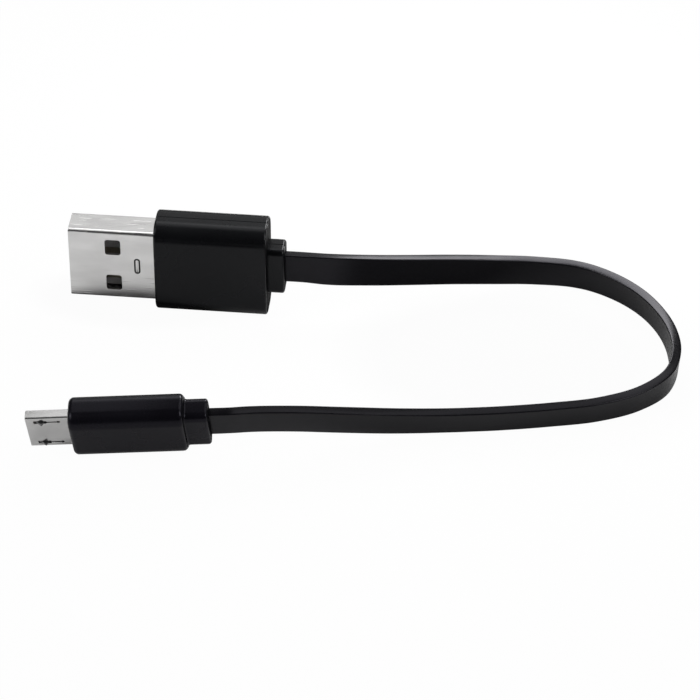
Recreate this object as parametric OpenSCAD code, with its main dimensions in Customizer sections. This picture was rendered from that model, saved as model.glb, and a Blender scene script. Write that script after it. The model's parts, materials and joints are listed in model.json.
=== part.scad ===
// Flat charging cable: a type A plug, a micro B plug and one loop of flat jacket between them.
// Sizes are in millimetres and +Z is up. X runs along the type A plug, from its tip to its cable.
// The origin is the centre of the narrow side that the type A overmould stands on.
// Each plug is built in a frame of its own: x from its tip to its cable, y through its thickness
// with the window or latch face at -y, and z across its width.

/* [Flat cable] */
// Width of the flat jacket
cable_w = 4.8; // [4.4:0.1:5.5]
// Thickness of the flat jacket
cable_t = 1.35; // [1.2:0.05:1.8]
// Radius of the jacket's rounded edges
cable_corner = 0.3; // [0.2:0.05:0.5]
// Diameter of one insulated core
core_d = 0.8; // [0.6:0.05:0.9]
// Distance between neighbouring cores inside the jacket
core_pitch = 1; // [0.95:0.05:1.1]
// Diameter of the bare strands at the end of a core
strand_d = 0.3; // [0.2:0.02:0.36]

/* [Type A shell] */
// Width across the wide face
a_shell_w = 12; // [11.9:0.05:12.1]
// Thickness over both wide faces
a_shell_t = 4.5; // [4.4:0.05:4.6]
// Thickness of the folded steel
a_wall = 0.3; // [0.25:0.05:0.35]
// Outside radius of the long folds
a_shell_corner = 0.5; // [0.4:0.05:0.7]
// Length that stands out of the overmould
a_reach = 12.75; // [11.8:0.05:14]
// Length that is held in the mouldings
a_seat = 5; // [4:0.1:6]
// Length of a window, along the plug
a_window_l = 2.3; // [1.8:0.05:2.6]
// Width of a window, across the plug
a_window_w = 2.65; // [2.2:0.05:2.8]
// Corner radius of a window
a_window_corner = 0.4; // [0.1:0.05:0.5]
// Distance from the tip to the front edge of the windows
a_window_x = 5.4; // [5:0.1:6]
// Distance between the centres of the two windows of a face
a_window_pitch = 6.35; // [5.8:0.05:6.6]
// Length of the coined oblong, across the plug
a_coin_w = 2.65; // [2:0.05:3]
// Width of the coined oblong, along the plug
a_coin_l = 0.85; // [0.7:0.05:1]
// Distance from the tip to the centre of the coined oblong
a_coin_x = 10.1; // [9:0.1:11]
// Width of the coined outline
a_coin_line = 0.14; // [0.1:0.02:0.2]

/* [Type A insulator and contacts] */
// Distance from the shell's tip to the front of the tongue
a_tongue_x = 0.6; // [0.3:0.1:1]
// Thickness of the tongue
a_tongue_t = 1.84; // [1.7:0.02:1.9]
// Distance from the shell's tip to the base block
a_base_x = 12; // [11:0.1:12.5]
// Length of the base block
a_base_l = 4; // [3:0.1:4.5]
// Length of the solder deck behind the base block
a_deck_l = 2.5; // [2:0.1:3]
// Width of the solder deck
a_deck_w = 9; // [8.6:0.1:10]
// Width of a contact
a_contact_w = 1; // [0.8:0.05:1.2]
// Thickness of a contact
a_contact_t = 0.25; // [0.2:0.01:0.3]
// Distance from the shell's tip to the front of the power and ground contacts
a_contact_long_x = 1.9; // [1.5:0.1:2.4]
// How much further back the data contacts start
a_contact_stagger = 1; // [0.8:0.1:1.2]
// Distance between the two data contacts
a_data_pitch = 2; // [1.9:0.1:2.1]
// Distance between the power and ground contacts
a_power_pitch = 7; // [6.8:0.1:7.2]

/* [Type A mouldings] */
// Width of the overmould, which is its height as it stands
a_over_w = 15.4; // [14.8:0.1:16]
// Thickness of the overmould
a_over_t = 7; // [6.6:0.1:8]
// Length of the overmould without its neck
a_over_len = 16.6; // [15:0.1:20]
// Radius of the overmould's long edges
a_over_corner = 2.5; // [2:0.1:2.8]
// Radius of the overmould's front edge
a_over_nose = 0.4; // [0.3:0.1:1]
// Radius of the overmould's rear edge
a_over_tail = 0.35; // [0.2:0.05:0.8]
// Wall of the overmould in front of the inner mould
a_front_wall = 1; // [0.8:0.1:1.4]
// Wall of the overmould behind the inner mould
a_rear_wall = 2.8; // [2:0.1:3.4]
// Wall of the overmould beside the inner mould
a_side_wall = 0.8; // [0.7:0.05:1]
// Width of the neck
a_neck_w = 7.85; // [7:0.05:9]
// Thickness of the neck
a_neck_t = 3.9; // [3.4:0.1:5]
// Length of the neck
a_neck_len = 2.5; // [2:0.1:8]
// Radius of the neck's long edges
a_neck_corner = 0.9; // [0.6:0.1:1.4]

/* [Micro B shell] */
// Width across the wide face
m_shell_w = 6.85; // [6.8:0.05:6.9]
// Thickness over both faces
m_shell_t = 1.8; // [1.75:0.05:1.9]
// Thickness of the folded steel
m_wall = 0.2; // [0.15:0.05:0.25]
// Leg of the two chamfers at the back
m_chamfer = 0.5; // [0.4:0.05:0.7]
// Outside radius of the folds beside the latch face
m_shell_corner = 0.3; // [0.3:0.05:0.5]
// Length that stands out of the overmould
m_reach = 6.1; // [5.9:0.1:7]
// Length that is held in the mouldings
m_seat = 4.2; // [3.6:0.1:5]
// Distance from the tip to the front of a latch slot
m_slot_x = 1.1; // [1:0.05:1.3]
// Length of a latch slot
m_slot_l = 3.75; // [3.4:0.05:4]
// Length of the wide front part of a latch slot
m_slot_front_l = 1.85; // [1.7:0.05:2]
// Width of the rear part of a latch slot
m_slot_rear_w = 0.24; // [0.15:0.01:0.3]

/* [Micro B insulator and contacts] */
// Distance from the shell's tip to the front of the tongue
m_tongue_x = 0.5; // [0.3:0.1:0.8]
// Width of the tongue
m_tongue_w = 3.5; // [3.3:0.1:3.6]
// Thickness of the tongue
m_tongue_t = 0.55; // [0.5:0.01:0.6]
// Distance from the shell's tip to the base block
m_base_x = 6.6; // [6.4:0.1:7]
// Length of the base block
m_base_l = 2.6; // [2:0.1:3]
// Length of the solder deck behind the base block
m_deck_l = 2.4; // [2:0.1:3]
// Width of the solder deck
m_deck_w = 4.6; // [4:0.1:5]
// Width of a contact
m_contact_w = 0.38; // [0.3:0.01:0.42]
// Thickness of a contact
m_contact_t = 0.15; // [0.1:0.01:0.2]
// Distance between neighbouring contacts
m_contact_pitch = 0.65; // [0.64:0.01:0.66]
// Distance from the shell's tip to the front of the power and ground contacts
m_contact_long_x = 0.95; // [0.8:0.05:1.1]
// How much further back the other three contacts start
m_contact_stagger = 0.35; // [0.2:0.05:0.5]
// Height of the sprung crown on each contact
m_crown = 0.1; // [0.05:0.01:0.15]

/* [Micro B latches] */
// Distance between the two latches
m_latch_pitch = 4.9; // [4.6:0.05:5]
// Width of a latch
m_latch_w = 0.4; // [0.34:0.02:0.44]
// Thickness of a latch arm
m_latch_t = 0.3; // [0.25:0.01:0.34]
// Height of a hook above the shell's face
m_hook_h = 0.45; // [0.3:0.05:0.5]
// Length of a hook at its foot
m_hook_l = 1.3; // [1.1:0.05:1.4]
// Gap around a hook in its slot
m_slot_gap = 0.12; // [0.1:0.01:0.15]
// Radius of the rolled root that a latch turns on
m_root_r = 0.25; // [0.22:0.01:0.26]
// Radial gap round a rolled root
m_root_gap = 0.06; // [0.04:0.01:0.08]

/* [Micro B mouldings] */
// Width of the overmould, which is its height as it stands
m_over_w = 9.2; // [8.4:0.1:10]
// Thickness of the overmould
m_over_t = 5.35; // [5.2:0.05:6.5]
// Length of the overmould without its neck
m_over_len = 16.2; // [15:0.1:20]
// Radius of the overmould's long edges
m_over_corner = 2; // [1.7:0.1:2.3]
// Radius of the overmould's front edge
m_over_nose = 0.7; // [0.5:0.1:1.3]
// Radius of the overmould's rear edge
m_over_tail = 0.7; // [0.3:0.05:0.9]
// Wall of the overmould in front of the inner mould
m_front_wall = 0.8; // [0.7:0.1:1]
// Wall of the overmould behind the inner mould
m_rear_wall = 2.1; // [1.6:0.1:3]
// Wall of the overmould beside the inner mould
m_side_wall = 0.56; // [0.5:0.02:0.6]
// Width of the neck
m_neck_w = 7.25; // [6:0.05:7.6]
// Thickness of the neck
m_neck_t = 3.85; // [3.2:0.05:4.2]
// Length of the neck
m_neck_len = 3.3; // [2.5:0.1:8]
// Radius of the neck's long edges
m_neck_corner = 1.1; // [0.8:0.1:1.3]
// Radius of the hollow fillet between the overmould and its neck
m_neck_fillet = 0.35; // [0.2:0.05:0.5]

/* [How the micro B plug lies] */
// Place of its tip along X
m_place_x = -21.3; // [-30:0.1:-10]
// Place of its tip along Y
m_place_y = -36.8; // [-45:0.1:-30]
// Turn on the table
m_yaw = 4; // [0:0.5:8]
// How far its cable end is lifted
m_pitch = 4; // [0:0.5:5]
// How far its upper edge leans out of the loop
m_lean = 17; // [0:1:20]

/* [Fits and smoothness] */
// Gap between an insulator and the shell round it
insulator_gap = 0.03; // [0.02:0.01:0.05]
// How far a contact stands proud of its tongue
contact_proud = 0.04; // [0.02:0.01:0.08]
// Gap beside a contact in its groove
groove_gap = 0.03; // [0.02:0.01:0.05]
// Solder between a contact's tail and the strands over it
strand_lift = 0.03; // [0.02:0.01:0.05]
// Width of the seam where a folded shell closes
seam_w = 0.07; // [0.05:0.01:0.1]
// Radius of the necks' rear edges
neck_edge = 0.4; // [0.2:0.05:0.6]
// How far the jacket is gripped inside an inner mould
jacket_grip = 1.8; // [1:0.1:2.5]
// Steps round each corner of a moulding
corner_steps = 7; // [4:1:9]
// Steps along each rounded end of a moulding
edge_steps = 4; // [3:1:6]

/* [Hidden] */

// The cable's way over the table: x, y, share of the plug's height still left, lean in degrees.
// The last five rows climb to the micro B plug, the rows before them come down from the type A plug.
cable_route = [
    [16.8, -0.1, 0.99, 4],
    [22.7, 0.9, 0.9, 2],
    [28.9, 2.8, 0.73, -1],
    [35, 5.2, 0.5, -3],
    [41, 7.4, 0.27, -5],
    [47.3, 9.1, 0.09, -8],
    [53.8, 9.3, 0, -11],
    [59.2, 6.9, 0, -12],
    [63.4, 3.3, 0, -11],
    [66.2, -0.8, 0, -8],
    [68, -5.4, 0, -2],
    [68.6, -10.4, 0, 4],
    [67.5, -15.2, 0, 10],
    [63.9, -19.3, 0, 16],
    [58.2, -22.4, 0, 19],
    [51.5, -24.3, 0, 20],
    [44.2, -25.9, 0, 20],
    [36.8, -27.2, 0.02, 20],
    [29.5, -29, 0.23, 18],
    [22.3, -31, 0.57, 17],
    [15.5, -32.7, 0.86, 17],
    [9.6, -34, 0.99, 17]
];
climb_rows = 5;
// Straight stretch where the cable leaves each plug
cable_lead = 2.6;
// Rings on each stretch of the route
rings_per_row = 3;
bore_fn = 32;
wire_sides = 12;
past = 1;

a_axis_z = a_over_w / 2;
a_tip_x = -a_reach - a_over_len / 2;
a_tail_x = a_reach + a_over_len;
a_exit_x = a_tail_x + a_neck_len;
a_shell_end = a_reach + a_seat;
a_base_end = a_base_x + a_base_l;
a_deck_end = a_base_end + a_deck_l;
a_tongue_y = a_shell_t / 2 - a_wall - insulator_gap - a_tongue_t;
a_contact_y = a_tongue_y - contact_proud;
a_inner_x = a_reach + a_front_wall;
a_inner_end = a_tail_x - a_rear_wall;
a_inner_w = a_over_w - 2 * a_side_wall;
a_inner_t = a_over_t - 2 * a_side_wall;
a_inner_corner = a_over_corner - a_side_wall;
a_jacket_end = a_inner_end - jacket_grip;

m_tail_x = m_reach + m_over_len;
m_exit_x = m_tail_x + m_neck_len;
m_shell_end = m_reach + m_seat;
m_base_end = m_base_x + m_base_l;
m_deck_end = m_base_end + m_deck_l;
m_face_y = -m_shell_t / 2;
m_inside_y = m_face_y + m_wall;
m_tongue_y = m_shell_t / 2 - m_wall - insulator_gap - m_tongue_t;
m_contact_y = m_tongue_y - contact_proud;
m_inner_x = m_reach + m_front_wall;
m_inner_end = m_tail_x - m_rear_wall;
m_inner_w = m_over_w - 2 * m_side_wall;
m_inner_t = m_over_t - 2 * m_side_wall;
m_inner_corner = m_over_corner - m_side_wall;
m_jacket_end = m_inner_end - jacket_grip;

// A latch turns about the centre of its rolled root, just inside the front of the base block
m_root_x = m_base_x + m_root_r;
m_root_y = m_inside_y + m_root_gap / 2 + m_root_r;
m_arm_y = m_inside_y + m_root_gap;
m_hook_front = m_slot_x + m_slot_gap * 2;
m_hook_back = m_hook_front + m_hook_l;
m_slot_front_w = m_latch_w + 2 * m_slot_gap;

core_offsets = [1.5 * core_pitch, 0.5 * core_pitch, -0.5 * core_pitch, -1.5 * core_pitch];
a_contact_z = [a_power_pitch / 2, a_data_pitch / 2, -a_data_pitch / 2, -a_power_pitch / 2];
m_contact_z = [2 * m_contact_pitch, m_contact_pitch, 0, -m_contact_pitch, -2 * m_contact_pitch];
m_wired_z = [m_contact_z[0], m_contact_z[1], m_contact_z[2], m_contact_z[4]];

steel = "#c8cacd";
black_vinyl = "#1d1d20";
black_nylon = "#101012";
natural_plastic = "#d8d6cc";
gilt = "#c9a24a";
tin = "#b9bcc0";

// ---- profiles: lists of [y, z], anticlockwise as seen from the cable end ----

function corner_arc(cy, cz, r, start, steps) = [
    for (i = [0 : steps])
        let (a = start + 90 * i / steps)
        [cy + r * cos(a), cz + r * sin(a)]
];

function rounded_profile(t, w, r, steps) = concat(
    corner_arc(t / 2 - r, -w / 2 + r, r, -90, steps),
    corner_arc(t / 2 - r, w / 2 - r, r, 0, steps),
    corner_arc(-t / 2 + r, w / 2 - r, r, 90, steps),
    corner_arc(-t / 2 + r, -w / 2 + r, r, 180, steps)
);

function jacket_profile() = rounded_profile(cable_t, cable_w, cable_corner, 2);

// The type A shell's profile, drawn in by inset
function a_profile(inset) = rounded_profile(
    a_shell_t - 2 * inset, a_shell_w - 2 * inset, max(a_shell_corner - inset, 0.1), 4
);

// The micro B shell's profile: two chamfers at the back, two folds at the latch face
function m_profile(inset) =
    let (
        half_w = m_shell_w / 2 - inset,
        half_t = m_shell_t / 2 - inset,
        fold = max(m_shell_corner - inset, 0.1),
        leg = m_chamfer - (2 - sqrt(2)) * inset
    )
    concat(
        [[half_t - leg, -half_w], [half_t, -half_w + leg]],
        [[half_t, half_w - leg], [half_t - leg, half_w]],
        corner_arc(-half_t + fold, half_w - fold, fold, 90, 4),
        corner_arc(-half_t + fold, -half_w + fold, fold, 180, 4)
    );

// ---- shared building modules ----

module along_x(from, to, profile) {
    translate([from, 0, 0])
        rotate([90, 0, 90])
            linear_extrude(to - from)
                polygon(profile);
}

// A flat piece cut from strip: its side view in x and y, and its width across the plug
module side_cut(outline, width, z) {
    translate([0, 0, z - width / 2])
        linear_extrude(width)
            polygon(outline);
}

// A hole through a wide face, drawn as length along x and width along z
module face_hole(x, z, length, width, corner, y, depth) {
    translate([x, y, z])
        rotate([-90, 0, 0])
            linear_extrude(depth)
                polygon(rounded_profile(length, width, corner, 3));
}

// One straight stretch of a shell's seam, in the plane of its wide face
module seam_stretch(from, to, y, depth) {
    run = to - from;
    translate([from[0], y, from[1]])
        rotate([0, -atan2(run[1], run[0]), 0])
            translate([-seam_w / 2, 0, -seam_w / 2])
                cube([norm(run) + seam_w, depth, seam_w]);
}

// A seam with one dovetail key in it
module keyed_seam(key_x, key_l, key_h, end, y, depth) {
    path = [
        [-past, 0], [key_x, 0], [key_x - key_h / 3, key_h],
        [key_x + key_l + key_h / 3, key_h], [key_x + key_l, 0], [end + past, 0]
    ];
    for (i = [0 : len(path) - 2])
        seam_stretch(path[i], path[i + 1], y, depth);
}

// Skin through rings of equal length, closed by its first and last ring
module skin(rings) {
    count = len(rings[0]);
    last = (len(rings) - 1) * count;
    sides = [
        for (i = [0 : len(rings) - 2], j = [0 : count - 1])
            let (a = i * count + j, b = i * count + (j + 1) % count)
            each [[a, a + count, b + count], [a, b + count, b]]
    ];
    start_cap = [[for (j = [0 : count - 1]) j]];
    end_cap = [[for (j = [count - 1 : -1 : 0]) last + j]];
    polyhedron(points = [for (ring = rings) each ring], faces = concat(start_cap, sides, end_cap));
}

function ring_at(x, profile) = [for (p = profile) [x, p[0], p[1]]];

function drawn_in(x, t, w, r, inset) =
    ring_at(x, rounded_profile(t - 2 * inset, w - 2 * inset, max(r - inset, 0.1), corner_steps));

// A moulded grip as rings: rounded front edge, straight body, rounded rear edge, fillet, neck
function grip_rings(x0, len_body, t, w, r, nose, tail, len_neck, neck_t, neck_w, neck_r, fillet) =
    let (x1 = x0 + len_body, x2 = x1 + len_neck)
    concat(
        [for (i = [0 : edge_steps])
            let (a = 90 * i / edge_steps)
            drawn_in(x0 + nose * (1 - cos(a)), t, w, r, nose * (1 - sin(a)))],
        [for (i = [0 : edge_steps])
            let (a = 90 * i / edge_steps)
            drawn_in(x1 - tail * (1 - sin(a)), t, w, r, tail * (1 - cos(a)))],
        fillet > 0
            ? [for (i = [0 : edge_steps])
                let (a = 90 * i / edge_steps)
                drawn_in(x1 + fillet * (1 - cos(a)), neck_t, neck_w, neck_r, -fillet * (1 - sin(a)))]
            : [drawn_in(x1, neck_t, neck_w, neck_r, 0)],
        [for (i = [0 : edge_steps])
            let (a = 90 * i / edge_steps)
            drawn_in(x2 - neck_edge * (1 - sin(a)), neck_t, neck_w, neck_r, neck_edge * (1 - cos(a)))]
    );

a_grip = grip_rings(
    a_reach, a_over_len, a_over_t, a_over_w, a_over_corner, a_over_nose, a_over_tail,
    a_neck_len, a_neck_t, a_neck_w, a_neck_corner, 0
);
m_grip = grip_rings(
    m_reach, m_over_len, m_over_t, m_over_w, m_over_corner, m_over_nose, m_over_tail,
    m_neck_len, m_neck_t, m_neck_w, m_neck_corner, m_neck_fillet
);

// A wire through stations of [x, y, z, diameter], from its contact to the jacket
module wire(stations) {
    skin([
        for (s = stations)
            [for (j = [0 : wire_sides - 1])
                let (a = 360 * j / wire_sides)
                [s[0], s[1] + s[3] / 2 * cos(a), s[2] + s[3] / 2 * sin(a)]]
    ]);
}

// ---- where the two plugs stand ----

module place_a() {
    translate([a_tip_x, 0, a_axis_z])
        children();
}

// Height of a point of the micro B plug over its tip, once it leans and is pitched
function m_height(p) = p[0] * sin(m_pitch) + (p[1] * sin(m_lean) + p[2] * cos(m_lean)) * cos(m_pitch);
m_place_z = -min([for (ring = m_grip) each [for (p = ring) m_height(p)]]);
m_run = [cos(m_yaw) * cos(m_pitch), sin(m_yaw) * cos(m_pitch), sin(m_pitch)];
m_place = [m_place_x, m_place_y, m_place_z];

module place_m() {
    translate(m_place)
        rotate([0, -m_pitch, m_yaw])
            rotate([m_lean, 0, 0])
                children();
}

// ---- type A plug, in its own frame ----

module a_shell_solid() {
    difference() {
        along_x(0, a_shell_end, a_profile(0));
        along_x(-past, a_shell_end + past, a_profile(a_wall));
    }
}

module a_coin() {
    difference() {
        face_hole(a_coin_x, 0, a_coin_l, a_coin_w, a_coin_l / 2 - 0.01,
            -a_shell_t / 2 - past, past + a_wall / 2);
        face_hole(a_coin_x, 0, a_coin_l - 2 * a_coin_line, a_coin_w - 2 * a_coin_line,
            a_coin_l / 2 - a_coin_line - 0.01, -a_shell_t / 2 - 2 * past, 3 * past + a_wall);
    }
}

module type_a_shell() {
    color(steel)
        place_a()
            difference() {
                a_shell_solid();
                for (side = [-1, 1])
                    face_hole(a_window_x + a_window_l / 2, side * a_window_pitch / 2,
                        a_window_l, a_window_w, a_window_corner, -a_shell_t / 2 - past, a_shell_t + 2 * past);
                a_coin();
                keyed_seam(a_window_x, a_window_l, a_window_pitch / 6, a_shell_end,
                    a_shell_t / 2 - 1.5 * a_wall, 2 * a_wall);
            }
}

// A contact's side view: its nose dips into the tongue, the rest is straight to the solder deck
module a_contact(k) {
    front = a_contact_long_x + (k == 1 || k == 2 ? a_contact_stagger : 0);
    dip = a_contact_t * 1.6;
    side_cut([
        [front, a_contact_y + dip],
        [front + 2 * dip, a_contact_y],
        [a_deck_end, a_contact_y],
        [a_deck_end, a_contact_y + a_contact_t],
        [front + 2.4 * dip, a_contact_y + a_contact_t],
        [front + 0.5 * dip, a_contact_y + dip + a_contact_t]
    ], a_contact_w, a_contact_z[k]);
}

// The solder deck, from inside the base block to its rear edge
module a_deck() {
    translate([a_base_end - past, a_tongue_y, -a_deck_w / 2])
        cube([a_deck_l + past, a_tongue_t, a_deck_w]);
}

module a_insulator() {
    back = a_shell_t / 2 - a_wall - insulator_gap;
    lead_in = a_tongue_t / 4;
    half_w = a_shell_w / 2 - a_wall - insulator_gap;
    difference() {
        union() {
            side_cut([
                [a_tongue_x, a_tongue_y + lead_in],
                [a_tongue_x + lead_in, a_tongue_y],
                [a_base_end, a_tongue_y],
                [a_base_end, back],
                [a_tongue_x, back]
            ], 2 * (half_w - a_shell_corner), 0);
            along_x(a_base_x, a_base_end, a_profile(a_wall + insulator_gap));
            a_deck();
        }
        for (k = [0 : 3]) {
            a_contact(k);
            translate([a_contact_long_x, -a_shell_t, a_contact_z[k] - a_contact_w / 2 - groove_gap])
                cube([
                    a_base_x - a_contact_long_x,
                    a_shell_t + a_contact_y + a_contact_t,
                    a_contact_w + 2 * groove_gap
                ]);
        }
    }
}

// A core leaves the jacket, fans out and ends in bare strands over its contact's tail
module a_core(k) {
    seat_y = a_contact_y - strand_d / 2 - strand_lift;
    z = a_contact_z[k];
    wire([
        [a_deck_end - a_deck_l * 0.7, seat_y, z, strand_d],
        [a_deck_end + core_d / 2, seat_y, z, strand_d],
        [a_deck_end + core_d / 2, seat_y, z, core_d],
        [a_deck_end + core_d, seat_y, z, core_d],
        [a_jacket_end - core_d, 0, core_offsets[k], core_d],
        [a_jacket_end, 0, core_offsets[k], core_d]
    ]);
}

// Solder is a low mound round the strands, flat on the contact's tail
module solder_mound(from, to, y, z, width) {
    height = strand_d + 3 * strand_lift;
    side_cut([
        [from, y],
        [from + height / 2, y - height],
        [to - height / 2, y - height],
        [to, y]
    ], width, z);
}

module a_mound(k) {
    solder_mound(a_deck_end - a_deck_l * 0.8, a_deck_end - a_deck_l * 0.1,
        a_contact_y, a_contact_z[k], a_contact_w * 0.8);
}

module a_solder(k) {
    difference() {
        a_mound(k);
        a_core(k);
    }
}

module a_jacket_slot() {
    along_x(a_jacket_end, a_exit_x + past, jacket_profile());
}

module type_a_inner_mould() {
    color(natural_plastic)
        place_a()
            difference() {
                along_x(a_inner_x, a_inner_end, rounded_profile(a_inner_t, a_inner_w, a_inner_corner, 3));
                a_shell_solid();
                along_x(0, a_base_end, a_profile(a_wall));
                a_deck();
                for (k = [0 : 3]) {
                    a_contact(k);
                    a_core(k);
                    a_mound(k);
                }
                a_jacket_slot();
            }
}

module type_a_overmould() {
    color(black_vinyl)
        place_a()
            difference() {
                skin(a_grip);
                along_x(a_inner_x, a_inner_end, rounded_profile(a_inner_t, a_inner_w, a_inner_corner, 3));
                along_x(0, a_shell_end, a_profile(0));
                a_jacket_slot();
            }
}

module type_a_insulator() {
    color(black_nylon)
        place_a()
            a_insulator();
}

module type_a_contact(k) {
    color(gilt)
        place_a()
            a_contact(k);
}

module type_a_core(k, dye) {
    color(dye)
        place_a()
            a_core(k);
}

module type_a_solder() {
    color(tin)
        place_a()
            for (k = [0 : 3])
                a_solder(k);
}

// ---- micro B plug, in its own frame ----

module m_shell_solid() {
    difference() {
        along_x(0, m_shell_end, m_profile(0));
        along_x(-past, m_shell_end + past, m_profile(m_wall));
    }
}

// A latch slot: wide round the hook, narrow behind it, with a round hole at its end
module m_slot(z) {
    front_mid = m_slot_x + m_slot_front_l / 2;
    end = m_slot_x + m_slot_l;
    face_hole(front_mid, z, m_slot_front_l, m_slot_front_w, m_slot_gap, m_face_y - past, past + 1.5 * m_wall);
    translate([front_mid, m_face_y - past, z - m_slot_rear_w / 2])
        cube([end - m_slot_rear_w - front_mid, past + 1.5 * m_wall, m_slot_rear_w]);
    translate([end - m_slot_rear_w, m_face_y - past, z])
        rotate([-90, 0, 0])
            cylinder(r = m_slot_rear_w, h = past + 1.5 * m_wall, $fn = bore_fn);
}

module micro_b_shell() {
    color(steel)
        place_m()
            difference() {
                m_shell_solid();
                for (side = [-1, 1])
                    m_slot(side * m_latch_pitch / 2);
                keyed_seam(m_reach / 3, m_reach / 4, m_shell_w / 8, m_shell_end,
                    m_shell_t / 2 - 1.5 * m_wall, 2 * m_wall);
            }
}

// A contact's side view: dipped nose, sprung crown, straight tail to the solder deck
module m_contact(k) {
    front = m_contact_long_x + (k == 0 || k == 4 ? 0 : m_contact_stagger);
    crown_x = m_contact_long_x + 2 * m_contact_stagger + m_contact_t;
    rise = 2 * m_crown;
    low = m_contact_y + m_contact_t;
    side_cut([
        [front, m_contact_y + m_contact_t / 2],
        [front + m_contact_t / 2, m_contact_y],
        [crown_x, m_contact_y],
        [crown_x + rise, m_contact_y - m_crown],
        [crown_x + 2 * rise, m_contact_y - m_crown],
        [crown_x + 3 * rise, m_contact_y],
        [m_deck_end, m_contact_y],
        [m_deck_end, low],
        [crown_x + 3 * rise, low],
        [crown_x + 2 * rise, low - m_crown],
        [crown_x + rise, low - m_crown],
        [crown_x, low],
        [front, low]
    ], m_contact_w, m_contact_z[k]);
}

// The notch in the base block that holds a latch's rolled root
module m_root_notch(z) {
    width = m_latch_w + 2 * m_root_gap;
    r = m_root_r + m_root_gap;
    translate([m_root_x, m_root_y, z - width / 2])
        cylinder(r = r, h = width, $fn = bore_fn);
    translate([m_root_x - r, -m_shell_t, z - width / 2])
        cube([2 * r, m_shell_t + m_root_y, width]);
    translate([m_base_x - past, -m_shell_t, z - width / 2])
        cube([past + m_root_r, m_shell_t + m_root_y + r, width]);
}

// The solder deck, from inside the base block to its rear edge
module m_deck() {
    translate([m_base_end - past, m_tongue_y, -m_deck_w / 2])
        cube([m_deck_l + past, m_tongue_t, m_deck_w]);
}

module m_insulator() {
    back = m_shell_t / 2 - m_wall - insulator_gap;
    lead_in = m_tongue_t / 4;
    difference() {
        union() {
            side_cut([
                [m_tongue_x, m_tongue_y + lead_in],
                [m_tongue_x + lead_in, m_tongue_y],
                [m_base_end, m_tongue_y],
                [m_base_end, back],
                [m_tongue_x, back]
            ], m_tongue_w, 0);
            along_x(m_base_x, m_base_end, m_profile(m_wall + insulator_gap));
            m_deck();
        }
        for (k = [0 : 4]) {
            m_contact(k);
            translate([m_contact_long_x, -m_shell_t, m_contact_z[k] - m_contact_w / 2 - groove_gap])
                cube([
                    m_base_x - m_contact_long_x,
                    m_shell_t + m_contact_y + m_contact_t,
                    m_contact_w + 2 * groove_gap
                ]);
        }
        for (side = [-1, 1])
            m_root_notch(side * m_latch_pitch / 2);
    }
}

// A latch: rolled root, straight spring arm, ramped hook
module m_latch(side) {
    z = side * m_latch_pitch / 2;
    arm_low = m_arm_y + m_latch_t;
    peak_y = m_face_y - m_hook_h;
    peak_x = m_hook_front + 0.65 * m_hook_l;
    crest = 0.1 * m_hook_l;
    translate([m_root_x, m_root_y, z - m_latch_w / 2])
        cylinder(r = m_root_r, h = m_latch_w, $fn = bore_fn);
    side_cut([
        [m_hook_front - m_slot_gap, m_arm_y],
        [m_hook_front, m_arm_y],
        [peak_x, peak_y],
        [peak_x + crest, peak_y],
        [m_hook_back, m_arm_y],
        [m_root_x, m_arm_y],
        [m_root_x, arm_low],
        [m_hook_front - m_slot_gap, arm_low]
    ], m_latch_w, z);
}

// A core leaves the jacket and ends in strands that bend in to the closely set contacts
module m_core(k) {
    seat_y = m_contact_y - strand_d / 2 - strand_lift;
    side = (1.5 - k) * (core_d + strand_d / 2);
    z = m_wired_z[k];
    wire([
        [m_deck_end - m_deck_l * 0.7, seat_y, z, strand_d],
        [m_deck_end - m_deck_l * 0.1, seat_y, z, strand_d],
        [m_deck_end + core_d / 2, seat_y, side, strand_d],
        [m_deck_end + core_d / 2, seat_y, side, core_d],
        [m_deck_end + core_d, seat_y, side, core_d],
        [m_jacket_end - core_d, 0, core_offsets[k], core_d],
        [m_jacket_end, 0, core_offsets[k], core_d]
    ]);
}

module m_mound(k) {
    solder_mound(m_deck_end - m_deck_l * 0.85, m_deck_end - m_deck_l * 0.1,
        m_contact_y, m_wired_z[k], m_contact_w * 1.2);
}

module m_jacket_slot() {
    along_x(m_jacket_end, m_exit_x + past, jacket_profile());
}

module micro_b_inner_mould() {
    color(natural_plastic)
        place_m()
            difference() {
                along_x(m_inner_x, m_inner_end, rounded_profile(m_inner_t, m_inner_w, m_inner_corner, 3));
                m_shell_solid();
                along_x(0, m_base_end, m_profile(m_wall));
                m_deck();
                for (k = [0 : 4])
                    m_contact(k);
                for (k = [0 : 3]) {
                    m_core(k);
                    m_mound(k);
                }
                m_jacket_slot();
            }
}

module micro_b_overmould() {
    color(black_vinyl)
        place_m()
            difference() {
                skin(m_grip);
                along_x(m_inner_x, m_inner_end, rounded_profile(m_inner_t, m_inner_w, m_inner_corner, 3));
                along_x(0, m_shell_end, m_profile(0));
                m_jacket_slot();
            }
}

module micro_b_insulator() {
    color(black_nylon)
        place_m()
            m_insulator();
}

module micro_b_contact(k) {
    color(gilt)
        place_m()
            m_contact(k);
}

module micro_b_latch(side) {
    color(steel)
        place_m()
            m_latch(side);
}

module micro_b_core(k, dye) {
    color(dye)
        place_m()
            m_core(k);
}

module micro_b_solder() {
    color(tin)
        place_m()
            for (k = [0 : 3])
                difference() {
                    m_mound(k);
                    m_core(k);
                }
}

// ---- the flat cable ----

// Height of the jacket's centre when it stands on its edge and leans
function resting_height(lean) =
    (cable_w / 2 - cable_corner) * cos(lean) + (cable_t / 2 - cable_corner) * abs(sin(lean)) + cable_corner;

a_exit = [a_tip_x + a_exit_x, 0, a_axis_z];
m_exit = m_place + m_exit_x * m_run;
a_rise = a_axis_z - resting_height(0);
m_rise = m_exit[2] - resting_height(m_lean);

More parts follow.
